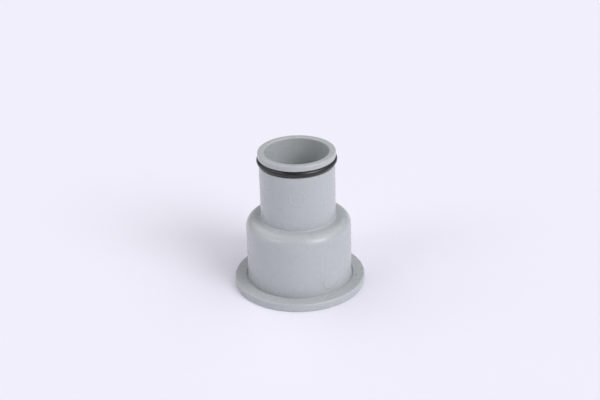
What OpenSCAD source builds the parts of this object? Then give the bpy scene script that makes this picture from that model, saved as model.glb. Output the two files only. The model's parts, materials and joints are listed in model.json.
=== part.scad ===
// Stepped hose adapter with a sealed spigot.
// A hose cuff is pushed over the spigot and its rubber ring, and a pipe end goes into the socket below.
// The foot's flange is what a union nut, slipped over the drum, presses on its seat.
// Sizes are in millimetres, with the axis along Z and the flange's underside at Z = 0.

/* [Spigot] */
// Outside diameter of the spigot
spigot_d = 32; // [28:0.5:36]
// Wall of the spigot, round the waterway
spigot_wall = 2.5; // [2.3:0.1:3.5]
// Length of the spigot, from the shoulder to the mouth
spigot_l = 29.95; // [20:0.05:40]
// Fillet between the spigot and the shoulder
root_fillet = 0.5; // [0.3:0.1:1.5]

/* [Collar] */
// Height of the collar round the mouth
collar_h = 2.4; // [1.6:0.1:4]
// How far the collar stands out past the spigot
collar_proud = 0.35; // [0.1:0.05:0.8]
// Rounding of the collar's outer upper edge
collar_round = 0.5; // [0.2:0.1:0.8]
// Rounding of the mouth's inner edge
mouth_round = 0.55; // [0.2:0.05:0.8]

/* [Rubber ring] */
// Section diameter of the rubber ring
seal_section = 2.5; // [2.2:0.1:2.6]
// How far the ring stands out past the spigot
seal_proud = 0.9; // [0.7:0.1:1.2]
// How much the ring is flattened where it is stretched over the groove's floor
seal_squeeze = 0.1; // [0.05:0.05:0.25]
// How much taller the groove is than the ring
groove_play = 0.6; // [0.3:0.1:1.5]
// Gap between the ring and the collar's underside
seat_gap = 0.05; // [0.02:0.01:0.2]

/* [Drum] */
// Diameter of the socket inside the drum
socket_d = 40; // [38:0.5:46]
// Depth of the socket, from the underside to the stop
socket_depth = 28.5; // [20:0.5:40]
// Wall of the drum, round the socket
drum_wall = 2.5; // [2:0.1:4]
// Wall of the shoulder, over the stop
shoulder_wall = 2.7; // [2:0.05:4]
// Rounding of the shoulder's outer edge
shoulder_round = 4.4; // [2:0.1:5.5]
// Lead-in chamfer at the socket's mouth
lead_in = 1; // [0.3:0.1:1.5]

/* [Flange] */
// Thickness of the flange
flange_t = 3.4; // [2.5:0.1:6]
// How far the flange stands out past the drum
flange_rim = 5.7; // [4:0.1:10]
// Rounding of the flange's upper edge
flange_round = 0.7; // [0.2:0.1:1.2]
// Width of the fine groove in the flange's top, round the drum's foot
foot_groove_w = 0.75; // [0.5:0.05:1.5]
// Depth of that groove
foot_groove_depth = 0.45; // [0.3:0.05:1]

/* [Hidden] */

// Small edge breaks and corners that moulding leaves
edge_break = 0.2;
fine_edge = 0.1;
groove_corner = 0.3;
stop_edge = 0.5;
least_corner = 0.5;
least_ledge = 0.2;
// How far the cutting shapes run past the faces they cut
over = 1;
// Number of steps round a full turn, of the solid and of its small roundings
turn_steps = 144;
round_steps = 48;

spigot_r = spigot_d / 2;
bore_r = spigot_r - spigot_wall;
collar_r = spigot_r + collar_proud;
socket_r = socket_d / 2;
drum_r = socket_r + drum_wall;
flange_r = drum_r + flange_rim;
foot_groove_round = 0.4 * foot_groove_w;

shoulder_z = socket_depth + shoulder_wall;
top_z = shoulder_z + spigot_l;
collar_z = top_z - collar_h;
groove_z = collar_z - seal_section - groove_play;

// The ring is seated on the groove's floor, close under the collar
seal_r = seal_section / 2;
seal_ring_r = spigot_r + seal_proud - seal_r;
groove_r = spigot_r + seal_proud - seal_section + seal_squeeze;
seal_z = collar_z - seat_gap - seal_r;

// The shoulder's rounding leaves a ledge beside the spigot's fillet, and its inside keeps the drum's wall
ledge = drum_r - spigot_r - root_fillet;
shoulder_r = min(shoulder_round, ledge - least_ledge);
stop_corner = max(shoulder_r - drum_wall, least_corner);

// What a rounding takes off a corner that points to the upper right, where the corner is the origin
module corner_waste(r) {
    translate([-r, -r])
        difference() {
            square(r + over);
            circle(r, $fn = round_steps);
        }
}

// What a fillet adds in a corner that opens to the upper right, where the corner is the origin
module fillet(r) {
    difference() {
        translate([-over, -over]) square(r + over);
        translate([r, r]) circle(r, $fn = round_steps);
    }
}

// What the fine groove takes out of the flange's top, with the drum's wall as its inner side
module foot_groove() {
    translate([drum_r, flange_t - foot_groove_depth])
        difference() {
            square([foot_groove_w, foot_groove_depth + over]);
            fillet(foot_groove_round);
            translate([foot_groove_w, 0]) mirror([1, 0]) fillet(foot_groove_round);
        }
    translate([drum_r + foot_groove_w, flange_t]) mirror([1, 0]) corner_waste(fine_edge);
}

// Outline of the outside, from the axis outwards
module outside() {
    difference() {
        union() {
            square([flange_r, flange_t]);
            square([drum_r, shoulder_z]);
            square([spigot_r, groove_z]);
            square([groove_r, top_z]);
            translate([0, collar_z]) square([collar_r, collar_h]);
            translate([spigot_r, shoulder_z]) fillet(root_fillet);
            translate([groove_r, groove_z]) fillet(groove_corner);
            translate([groove_r, collar_z]) mirror([0, 1]) fillet(groove_corner);
        }
        foot_groove();
        translate([flange_r, flange_t]) corner_waste(flange_round);
        translate([flange_r, 0]) mirror([0, 1]) corner_waste(edge_break);
        translate([drum_r, shoulder_z]) corner_waste(shoulder_r);
        translate([spigot_r, groove_z]) corner_waste(edge_break);
        translate([collar_r, collar_z]) mirror([0, 1]) corner_waste(edge_break);
        translate([collar_r, top_z]) corner_waste(collar_round);
    }
}

// Outline of the hollow: socket, stop and waterway
module hollow() {
    translate([0, -over]) square([bore_r, top_z + 2 * over]);
    difference() {
        translate([0, -over]) square([socket_r, socket_depth + over]);
        translate([socket_r, socket_depth]) corner_waste(stop_corner);
    }
    translate([bore_r, top_z]) mirror([1, 0]) corner_waste(mouth_round);
    translate([bore_r, socket_depth]) mirror([1, 0]) mirror([0, 1]) corner_waste(stop_edge);
    polygon([
        [0, -over],
        [socket_r + lead_in + over, -over],
        [socket_r, lead_in],
        [0, lead_in]
    ]);
}

// One moulded piece: collar, groove, spigot, shoulder, drum and flange, turned about the axis
module adapter_body() {
    color([0.70, 0.71, 0.74])
        rotate_extrude($fn = turn_steps)
            difference() {
                outside();
                hollow();
            }
}

// Rubber ring with a round section, flattened where it is stretched over the groove's floor
module o_ring() {
    color([0.09, 0.09, 0.10])
        rotate_extrude($fn = turn_steps)
            difference() {
                translate([seal_ring_r, seal_z]) circle(seal_r, $fn = round_steps);
                translate([0, seal_z - seal_r - over]) square([groove_r, seal_section + 2 * over]);
            }
}

adapter_body();
o_ring();
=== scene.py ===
import json
import math

import bpy
import numpy as np
from mathutils import Matrix, Vector


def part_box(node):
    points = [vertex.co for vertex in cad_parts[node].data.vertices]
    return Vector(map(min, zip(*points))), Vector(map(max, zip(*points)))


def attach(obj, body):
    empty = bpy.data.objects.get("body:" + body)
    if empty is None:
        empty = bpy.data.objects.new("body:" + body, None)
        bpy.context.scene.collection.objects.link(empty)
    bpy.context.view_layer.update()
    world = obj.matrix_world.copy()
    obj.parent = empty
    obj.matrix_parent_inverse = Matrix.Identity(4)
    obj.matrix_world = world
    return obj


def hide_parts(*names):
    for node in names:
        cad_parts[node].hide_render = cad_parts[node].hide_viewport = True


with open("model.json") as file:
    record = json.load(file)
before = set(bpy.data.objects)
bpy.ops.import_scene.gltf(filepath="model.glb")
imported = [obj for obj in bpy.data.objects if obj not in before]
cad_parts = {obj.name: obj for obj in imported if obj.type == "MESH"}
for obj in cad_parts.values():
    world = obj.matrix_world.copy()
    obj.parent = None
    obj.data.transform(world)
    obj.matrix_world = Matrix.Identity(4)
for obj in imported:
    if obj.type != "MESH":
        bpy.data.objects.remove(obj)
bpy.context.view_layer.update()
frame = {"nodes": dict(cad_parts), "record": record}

MM = 0.001
NEAR = 1e-6
TURN = 360

# Sizes that the frame gives, in millimetres
MOUNTS = {m["name"]: m for m in frame["record"]["mounts"]}
BODY_HIGH = np.array(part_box("adapter_body")[1]) / MM
FLANGE_R = BODY_HIGH[0]
TOP_Z = BODY_HIGH[2]
FLANGE_T = MOUNTS["nut_seat"]["pos_m"][2] / MM
DRUM_R = MOUNTS["drum"]["dims"]["r_mm"]
SOCKET_R = MOUNTS["socket"]["dims"]["r_mm"]
BORE_R = MOUNTS["spigot_bore"]["dims"]["r_mm"]
COLLAR_R = MOUNTS["collar"]["dims"]["r_mm"]

# The other sizes of the turned outline, in millimetres, as in the part's source
COLLAR_PROUD = 0.35
COLLAR_H = 2.4
SPIGOT_L = 29.95
SHOULDER_WALL = 2.7
GROOVE_H = 3.1
GROOVE_R = 14.5
LEAD_IN = 1.0
SHOULDER_ROUND = 4.4
STOP_CORNER = 1.9
FLANGE_ROUND = 0.7
FOOT_GROOVE_W = 0.75
FOOT_GROOVE_DEPTH = 0.45
FOOT_GROOVE_ROUND = 0.3
ROOT_FILLET = 0.5
COLLAR_ROUND = 0.5
MOUTH_ROUND = 0.55
EDGE_BREAK = 0.2
FINE_EDGE = 0.1
GROOVE_CORNER = 0.3
STOP_EDGE = 0.5

SPIGOT_R = COLLAR_R - COLLAR_PROUD
COLLAR_Z = TOP_Z - COLLAR_H
GROOVE_Z = COLLAR_Z - GROOVE_H
SHOULDER_Z = TOP_Z - SPIGOT_L
STOP_Z = SHOULDER_Z - SHOULDER_WALL

# How finely the mesh is cut, in millimetres along the outline and degrees round it
ROW_PITCH = 2.0
FINE_ROW_PITCH = 0.25
LOOK_AHEAD = round(ROW_PITCH / FINE_ROW_PITCH)
SUPPORT = 0.15
SHORTEST_CUT = 4 * SUPPORT
COLUMN_STEP = 2.0
FINE_COLUMN_STEP = 0.5
LEAST_ARC_STEPS = 5
ARC_STEPS_PER_MM = 2
SHARP_ANGLE = 38.0
# Azimuths with marks, from the front towards the right
FINE_COLUMNS = ((-24.0, 51.0), (76.5, 80.5))
# Stretches of the outline with marks
SPIGOT_MARKS_Z = (32.9, 50.8)
DRUM_MARKS_Z = (4.6, 15.0)
FLANGE_MARKS_R = (24.6, 26.2)

# The moulding marks, in millimetres. A place on the spigot or the drum is the distance round it
# from the front and the height, and a place on the flange is X and Y.
SPIGOT_RING = {"centre": (-0.35, 46.4), "radius": 3.25, "height": 0.13, "half_width": 0.5}
SPIGOT_TICKS = (
    ((-5.9, 39.6), (-5.1, 38.8)),
    ((-5.1, 38.8), (-5.8, 38.0)),
    ((-3.8, 38.5), (-3.1, 37.0)),
    ((-2.1, 39.4), (-2.6, 38.2)),
    ((-1.5, 33.7), (0.4, 33.5)),
)
TICK_HEIGHT = 0.1
TICK_HALF_WIDTH = 0.3
DRUM_PAD = {"centre": (13.4, 8.9), "radius": 3.7, "height": 0.2, "edge": 0.35}
DRUM_DASH = {"start": (16.8, 13.6), "end": (19.0, 13.4), "height": 0.12, "half_width": 0.3}
DRUM_DISC = {"centre": (-0.6, 7.8), "radius": 2.2, "height": 0.06, "edge": 0.4}
NIB_X = 24.9
NIB_Y = -5.0
NIB_R = 0.65
NIB_HEIGHT = 0.45


def outline():
    """Corners of the turned section, as radius, height and rounding, from the underside round to the socket."""
    groove_out = DRUM_R + FOOT_GROOVE_W
    groove_floor = FLANGE_T - FOOT_GROOVE_DEPTH
    return [
        (SOCKET_R + LEAD_IN, 0, 0),
        (FLANGE_R, 0, EDGE_BREAK),
        (FLANGE_R, FLANGE_T, FLANGE_ROUND),
        (groove_out, FLANGE_T, FINE_EDGE),
        (groove_out, groove_floor, FOOT_GROOVE_ROUND),
        (DRUM_R, groove_floor, FOOT_GROOVE_ROUND),
        (DRUM_R, SHOULDER_Z, SHOULDER_ROUND),
        (SPIGOT_R, SHOULDER_Z, ROOT_FILLET),
        (SPIGOT_R, GROOVE_Z, EDGE_BREAK),
        (GROOVE_R, GROOVE_Z, GROOVE_CORNER),
        (GROOVE_R, COLLAR_Z, GROOVE_CORNER),
        (COLLAR_R, COLLAR_Z, EDGE_BREAK),
        (COLLAR_R, TOP_Z, COLLAR_ROUND),
        (BORE_R, TOP_Z, MOUTH_ROUND),
        (BORE_R, STOP_Z, STOP_EDGE),
        (SOCKET_R, STOP_Z, STOP_CORNER),
        (SOCKET_R, LEAD_IN, 0),
    ]


def arc(here, to_before, to_after, radius):
    """Points that round a square corner, given the directions of its two sides."""
    centre = here + radius * (to_before + to_after)
    steps = round(LEAST_ARC_STEPS + ARC_STEPS_PER_MM * radius)
    turns = np.linspace(0, math.pi / 2, steps + 1)[:, None]
    return centre - radius * (np.cos(turns) * to_after + np.sin(turns) * to_before)


def rounded(corners):
    """The closed outline as an array of radius and height, with its corners turned into arcs."""
    spots = np.array([c[:2] for c in corners], float)
    after = np.roll(spots, -1, 0) - spots
    after /= np.linalg.norm(after, axis=1)[:, None]
    before = -np.roll(after, 1, 0)
    points = []
    for spot, to_before, to_after, corner in zip(spots, before, after, corners):
        points += [spot] if corner[2] == 0 else list(arc(spot, to_before, to_after, corner[2]))
    return np.array(points)


def is_marked(r, z):
    """True on the stretches of the outside that carry fine marks."""
    on_spigot = abs(r - SPIGOT_R) < NEAR and SPIGOT_MARKS_Z[0] < z < SPIGOT_MARKS_Z[1]
    on_drum = abs(r - DRUM_R) < NEAR and DRUM_MARKS_Z[0] < z < DRUM_MARKS_Z[1]
    on_flange = abs(z - FLANGE_T) < NEAR and FLANGE_MARKS_R[0] < r < FLANGE_MARKS_R[1]
    return on_spigot or on_drum or on_flange


def sampled(points):
    """The closed outline with its straight runs cut into short pieces, finer where there are marks."""
    rows = []
    for start, end in zip(points, np.roll(points, -1, 0)):
        rows.append(start)
        length = np.linalg.norm(end - start)
        if length < SHORTEST_CUT:
            continue
        along = (end - start) / length
        done = SUPPORT
        while done < length - 2 * SUPPORT:
            spot = start + along * done
            rows.append(spot)
            ahead = spot + along * FINE_ROW_PITCH
            if is_marked(*ahead):
                done += FINE_ROW_PITCH
            else:
                steps = range(1, LOOK_AHEAD + 1)
                reach = [k for k in steps if is_marked(*(spot + along * FINE_ROW_PITCH * k))]
                done += min([ROW_PITCH] + [FINE_ROW_PITCH * k for k in reach])
        rows.append(end - along * SUPPORT)
    return np.array(rows)


def column_angles():
    """Azimuths round the turn, in degrees from the front, finer where there are marks."""
    parts = []
    for (start, end), (following, _) in zip(FINE_COLUMNS, FINE_COLUMNS[1:] + FINE_COLUMNS[:1]):
        parts.append(np.arange(start, end, FINE_COLUMN_STEP))
        gap = (following - end) % TURN
        parts.append(np.linspace(end, end + gap, round(gap / COLUMN_STEP), endpoint=False))
    return np.concatenate(parts)


def smooth_step(t):
    """0 below 0, 1 above 1, and a smooth rise between."""
    t = np.clip(t, 0, 1)
    return t * t * (3 - 2 * t)


def disc(s, z, centre, radius, height, edge):
    """Relief of a raised round pad with a sloped edge."""
    away = np.hypot(s - centre[0], z - centre[1])
    return height * smooth_step((radius - away) / edge)


def ring(s, z, centre, radius, height, half_width):
    """Relief of a raised ring."""
    away = np.abs(np.hypot(s - centre[0], z - centre[1]) - radius)
    return height * smooth_step(1 - away / half_width)


def tick(s, z, start, end, height=TICK_HEIGHT, half_width=TICK_HALF_WIDTH):
    """Relief of a raised stroke from start to end."""
    ax, az = end[0] - start[0], end[1] - start[1]
    along = np.clip(((s - start[0]) * ax + (z - start[1]) * az) / (ax * ax + az * az), 0, 1)
    away = np.hypot(s - start[0] - along * ax, z - start[1] - along * az)
    return height * smooth_step(1 - away / half_width)


def spigot_relief(s, z):
    """Height of the moulding marks on the spigot, where s is the distance round it from the front."""
    relief = ring(s, z, **SPIGOT_RING)
    for start, end in SPIGOT_TICKS:
        relief = np.maximum(relief, tick(s, z, start, end))
    return relief


def drum_relief(s, z):
    """Height of the moulding marks low on the drum."""
    relief = disc(s, z, **DRUM_PAD)
    relief = np.maximum(relief, tick(s, z, **DRUM_DASH))
    return np.maximum(relief, disc(s, z, **DRUM_DISC))


def flange_relief(x, y):
    """Height of the small gate nib on the flange's top."""
    away = np.hypot(x - NIB_X, y - NIB_Y)
    return NIB_HEIGHT * np.sqrt(np.clip(1 - (away / NIB_R) ** 2, 0, 1))


def body_mesh():
    """The moulded body as one closed turned mesh with its marks."""
    rows = sampled(rounded(outline()))
    angles = np.radians(column_angles())
    r = np.repeat(rows[:, :1], len(angles), 1)
    z = np.repeat(rows[:, 1:], len(angles), 1)
    phi = np.repeat(angles[None, :], len(rows), 0)
    phi = np.where(phi > math.pi, phi - 2 * math.pi, phi)
    on_spigot = (np.abs(r - SPIGOT_R) < NEAR) & (z > SHOULDER_Z) & (z < GROOVE_Z)
    on_drum = (np.abs(r - DRUM_R) < NEAR) & (z > FLANGE_T)
    on_flange = (np.abs(z - FLANGE_T) < NEAR) & (r > DRUM_R + FOOT_GROOVE_W)
    out = np.where(on_spigot, spigot_relief(phi * SPIGOT_R, z), 0)
    out = np.where(on_drum, drum_relief(phi * DRUM_R, z), out)
    up = np.where(on_flange, flange_relief(r * np.sin(phi), -r * np.cos(phi)), 0)
    verts = np.stack([(r + out) * np.sin(phi), -(r + out) * np.cos(phi), z + up], -1).reshape(-1, 3) * MM
    n, m = r.shape
    i, j = np.meshgrid(np.arange(n), np.arange(m), indexing="ij")
    i2, j2 = (i + 1) % n, (j + 1) % m
    faces = np.stack([i * m + j, i * m + j2, i2 * m + j2, i2 * m + j], -1).reshape(-1, 4)
    mesh = bpy.data.meshes.new("moulded_body")
    mesh.from_pydata(verts.tolist(), [], faces.tolist())
    mesh.update()
    mesh.shade_smooth()
    mesh.set_sharp_from_angle(angle=math.radians(SHARP_ANGLE))
    return mesh


# The plastic: base colours and roughness from low to high, and its noises
GREY_COLOURS = ((0.438, 0.459, 0.481), (0.456, 0.476, 0.497))
GREY_ROUGHNESS = (0.25, 0.31)
GREY_IOR = 1.49
FLOW_SCALE = 55.0
FLOW_DETAIL = 3.0
PATCH_SCALE = 140.0
SINK_STRENGTH = 0.08
SINK_DEPTH = 0.0004
GREY_SKIN_SCALE = 1800.0
GREY_SKIN_STRENGTH = 0.06

# The rubber, likewise
RUBBER_COLOURS = ((0.008, 0.008, 0.010), (0.016, 0.016, 0.018))
RUBBER_ROUGHNESS = (0.26, 0.36)
RUBBER_IOR = 1.52
DUST_SCALE = 260.0
DUST_DETAIL = 3.0
DUST_ROUGHNESS = 0.6
RUBBER_SKIN_SCALE = 2200.0
RUBBER_SKIN_STRENGTH = 0.1

# What both share: the depth of the skin, the plain noise and the part of a noise that a ramp spreads
SKIN_DEPTH = 0.0001
PLAIN_DETAIL = 2.0
PLAIN_ROUGHNESS = 0.5
RAMP_SPREAD = (0.35, 0.65)


def new_material(name):
    """A node material with its nodes, links and shader."""
    material = bpy.data.materials.new(name)
    material.use_nodes = True
    nodes = material.node_tree.nodes
    return material, nodes, material.node_tree.links, nodes["Principled BSDF"]


def noise(nodes, links, coords, scale, detail=PLAIN_DETAIL, rough=PLAIN_ROUGHNESS):
    """A noise texture on the object's own coordinates."""
    node = nodes.new("ShaderNodeTexNoise")
    node.inputs["Scale"].default_value = scale
    node.inputs["Detail"].default_value = detail
    node.inputs["Roughness"].default_value = rough
    links.new(coords.outputs["Object"], node.inputs["Vector"])
    return node


def ramp(nodes, links, value, low, high):
    """Turns a value into a colour between low and high."""
    node = nodes.new("ShaderNodeValToRGB")
    for element, place, colour in zip(node.color_ramp.elements, RAMP_SPREAD, (low, high)):
        element.position = place
        element.color = (*colour, 1)
    links.new(value, node.inputs["Fac"])
    return node


def grey_levels(pair):
    """Two equal-channel colours from a low and a high value."""
    return [(value,) * 3 for value in pair]


def bump(nodes, links, height, strength, distance, before=None):
    """A bump node, on top of an earlier one if given."""
    node = nodes.new("ShaderNodeBump")
    node.inputs["Strength"].default_value = strength
    node.inputs["Distance"].default_value = distance
    links.new(height, node.inputs["Height"])
    if before is not None:
        links.new(before.outputs["Normal"], node.inputs["Normal"])
    return node


def grey_plastic():
    """Light grey moulded plastic: slightly cool, satin, with faint flow and a fine moulded skin."""
    material, nodes, links, shader = new_material("grey_plastic")
    coords = nodes.new("ShaderNodeTexCoord")
    flow = noise(nodes, links, coords, FLOW_SCALE, FLOW_DETAIL)
    colour = ramp(nodes, links, flow.outputs["Fac"], *GREY_COLOURS)
    links.new(colour.outputs["Color"], shader.inputs["Base Color"])
    patches = noise(nodes, links, coords, PATCH_SCALE)
    gloss = ramp(nodes, links, patches.outputs["Fac"], *grey_levels(GREY_ROUGHNESS))
    links.new(gloss.outputs["Color"], shader.inputs["Roughness"])
    shader.inputs["IOR"].default_value = GREY_IOR
    sink = bump(nodes, links, flow.outputs["Fac"], SINK_STRENGTH, SINK_DEPTH)
    skin = noise(nodes, links, coords, GREY_SKIN_SCALE)
    skin_bump = bump(nodes, links, skin.outputs["Fac"], GREY_SKIN_STRENGTH, SKIN_DEPTH, sink)
    links.new(skin_bump.outputs["Normal"], shader.inputs["Normal"])
    return material


def black_rubber():
    """Black nitrile rubber: dark, soft sheen, with a fine matt skin."""
    material, nodes, links, shader = new_material("black_rubber")
    coords = nodes.new("ShaderNodeTexCoord")
    dust = noise(nodes, links, coords, DUST_SCALE, DUST_DETAIL, DUST_ROUGHNESS)
    colour = ramp(nodes, links, dust.outputs["Fac"], *RUBBER_COLOURS)
    links.new(colour.outputs["Color"], shader.inputs["Base Color"])
    gloss = ramp(nodes, links, dust.outputs["Fac"], *grey_levels(RUBBER_ROUGHNESS))
    links.new(gloss.outputs["Color"], shader.inputs["Roughness"])
    shader.inputs["IOR"].default_value = RUBBER_IOR
    skin = noise(nodes, links, coords, RUBBER_SKIN_SCALE)
    skin_bump = bump(nodes, links, skin.outputs["Fac"], RUBBER_SKIN_STRENGTH, SKIN_DEPTH)
    links.new(skin_bump.outputs["Normal"], shader.inputs["Normal"])
    return material


def add_body():
    """The moulded body, in place of its CAD node."""
    piece = bpy.data.objects.new("moulded_body", body_mesh())
    bpy.context.collection.objects.link(piece)
    piece.data.materials.append(grey_plastic())
    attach(piece, "root")
    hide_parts("adapter_body")


def dress_ring():
    """The rubber ring keeps its CAD shape and gets its rubber."""
    node = frame["nodes"]["o_ring"]
    node.data.materials.clear()
    node.data.materials.append(black_rubber())


# The floor and the light. Strengths are such that a white card on the floor renders about white.
FLOOR_COLOUR = (0.855, 0.840, 0.939)
FLOOR_ROUGHNESS = 1.0
FLOOR_SPECULAR = 0.0
FLOOR_HALF = 4.0
FLOOR_DROP = 0.00005
SKY = 0.14
LAMPS = {
    "key": {"azimuth": 48.0, "elevation": 35.0, "strength": 0.97, "angle": 30.0},
    "key_high": {"azimuth": 55.0, "elevation": 48.0, "strength": 0.97, "angle": 60.0},
    "key_low": {"azimuth": 45.0, "elevation": 18.0, "strength": 0.53, "angle": 50.0},
    "fill": {"azimuth": -58.0, "elevation": 34.0, "strength": 0.51, "angle": 30.0},
    "fill_low": {"azimuth": -90.0, "elevation": 20.0, "strength": 0.49, "angle": 50.0},
    "back_left": {"azimuth": 225.0, "elevation": 55.0, "strength": 0.75, "angle": 50.0},
    "back_right": {"azimuth": 120.0, "elevation": 45.0, "strength": 0.40, "angle": 50.0},
}


def add_floor():
    """A plain pale floor under the object."""
    h = FLOOR_HALF
    mesh = bpy.data.meshes.new("floor")
    corners = [(-h, -h, -FLOOR_DROP), (h, -h, -FLOOR_DROP), (h, h, -FLOOR_DROP), (-h, h, -FLOOR_DROP)]
    mesh.from_pydata(corners, [], [(0, 1, 2, 3)])
    floor = bpy.data.objects.new("floor", mesh)
    bpy.context.collection.objects.link(floor)
    material, _, _, shader = new_material("floor_paper")
    shader.inputs["Base Color"].default_value = (*FLOOR_COLOUR, 1)
    shader.inputs["Roughness"].default_value = FLOOR_ROUGHNESS
    shader.inputs["Specular IOR Level"].default_value = FLOOR_SPECULAR
    mesh.materials.append(material)


def add_sun(name, light):
    """A wide soft light from far away, by its azimuth from the front and its elevation."""
    data = bpy.data.lights.new(name, "SUN")
    data.energy = light["strength"]
    data.angle = math.radians(light["angle"])
    lamp = bpy.data.objects.new(name, data)
    azimuth, elevation = math.radians(light["azimuth"]), math.radians(light["elevation"])
    towards = Vector((
        math.sin(azimuth) * math.cos(elevation),
        -math.cos(azimuth) * math.cos(elevation),
        math.sin(elevation),
    ))
    lamp.rotation_euler = towards.to_track_quat("Z", "Y").to_euler()
    bpy.context.collection.objects.link(lamp)


def add_sky():
    """An even, dim white sky."""
    world = bpy.data.worlds.new("sky")
    world.use_nodes = True
    background = world.node_tree.nodes["Background"]
    background.inputs["Color"].default_value = (1, 1, 1, 1)
    background.inputs["Strength"].default_value = SKY
    bpy.context.scene.world = world


# The camera, fitted to the outline of the object: its place in millimetres, its angles in degrees
CAMERA_Y = -436.8
CAMERA_Z = 254.4
CAMERA_YAW = 0.116
CAMERA_PITCH = -26.34
CAMERA_ROLL = -1.578
LENS = 69.0
SENSOR = 36.0
CLIP_START = 0.01


def add_camera():
    """The camera stands in the plane X = 0 and looks down on the object."""
    yaw, pitch, roll = (math.radians(a) for a in (CAMERA_YAW, CAMERA_PITCH, CAMERA_ROLL))
    forward = Vector((math.sin(yaw) * math.cos(pitch), math.cos(yaw) * math.cos(pitch), math.sin(pitch)))
    right = Vector((math.cos(yaw), -math.sin(yaw), 0))
    up = right.cross(forward)
    right, up = (math.cos(roll) * right + math.sin(roll) * up, math.cos(roll) * up - math.sin(roll) * right)
    data = bpy.data.cameras.new("camera")
    data.lens = LENS
    data.sensor_width = SENSOR
    data.clip_start = CLIP_START
    camera = bpy.data.objects.new("camera", data)
    place = Matrix((right, up, -forward)).transposed().to_4x4()
    place.translation = Vector((0, CAMERA_Y, CAMERA_Z)) * MM
    camera.matrix_world = place
    bpy.context.collection.objects.link(camera)
    bpy.context.scene.camera = camera


add_camera()
add_body()
dress_ring()
add_floor()
for lamp_name, lamp_values in LAMPS.items():
    add_sun(lamp_name, lamp_values)
add_sky()
bpy.context.scene.view_settings.view_transform = "Standard"
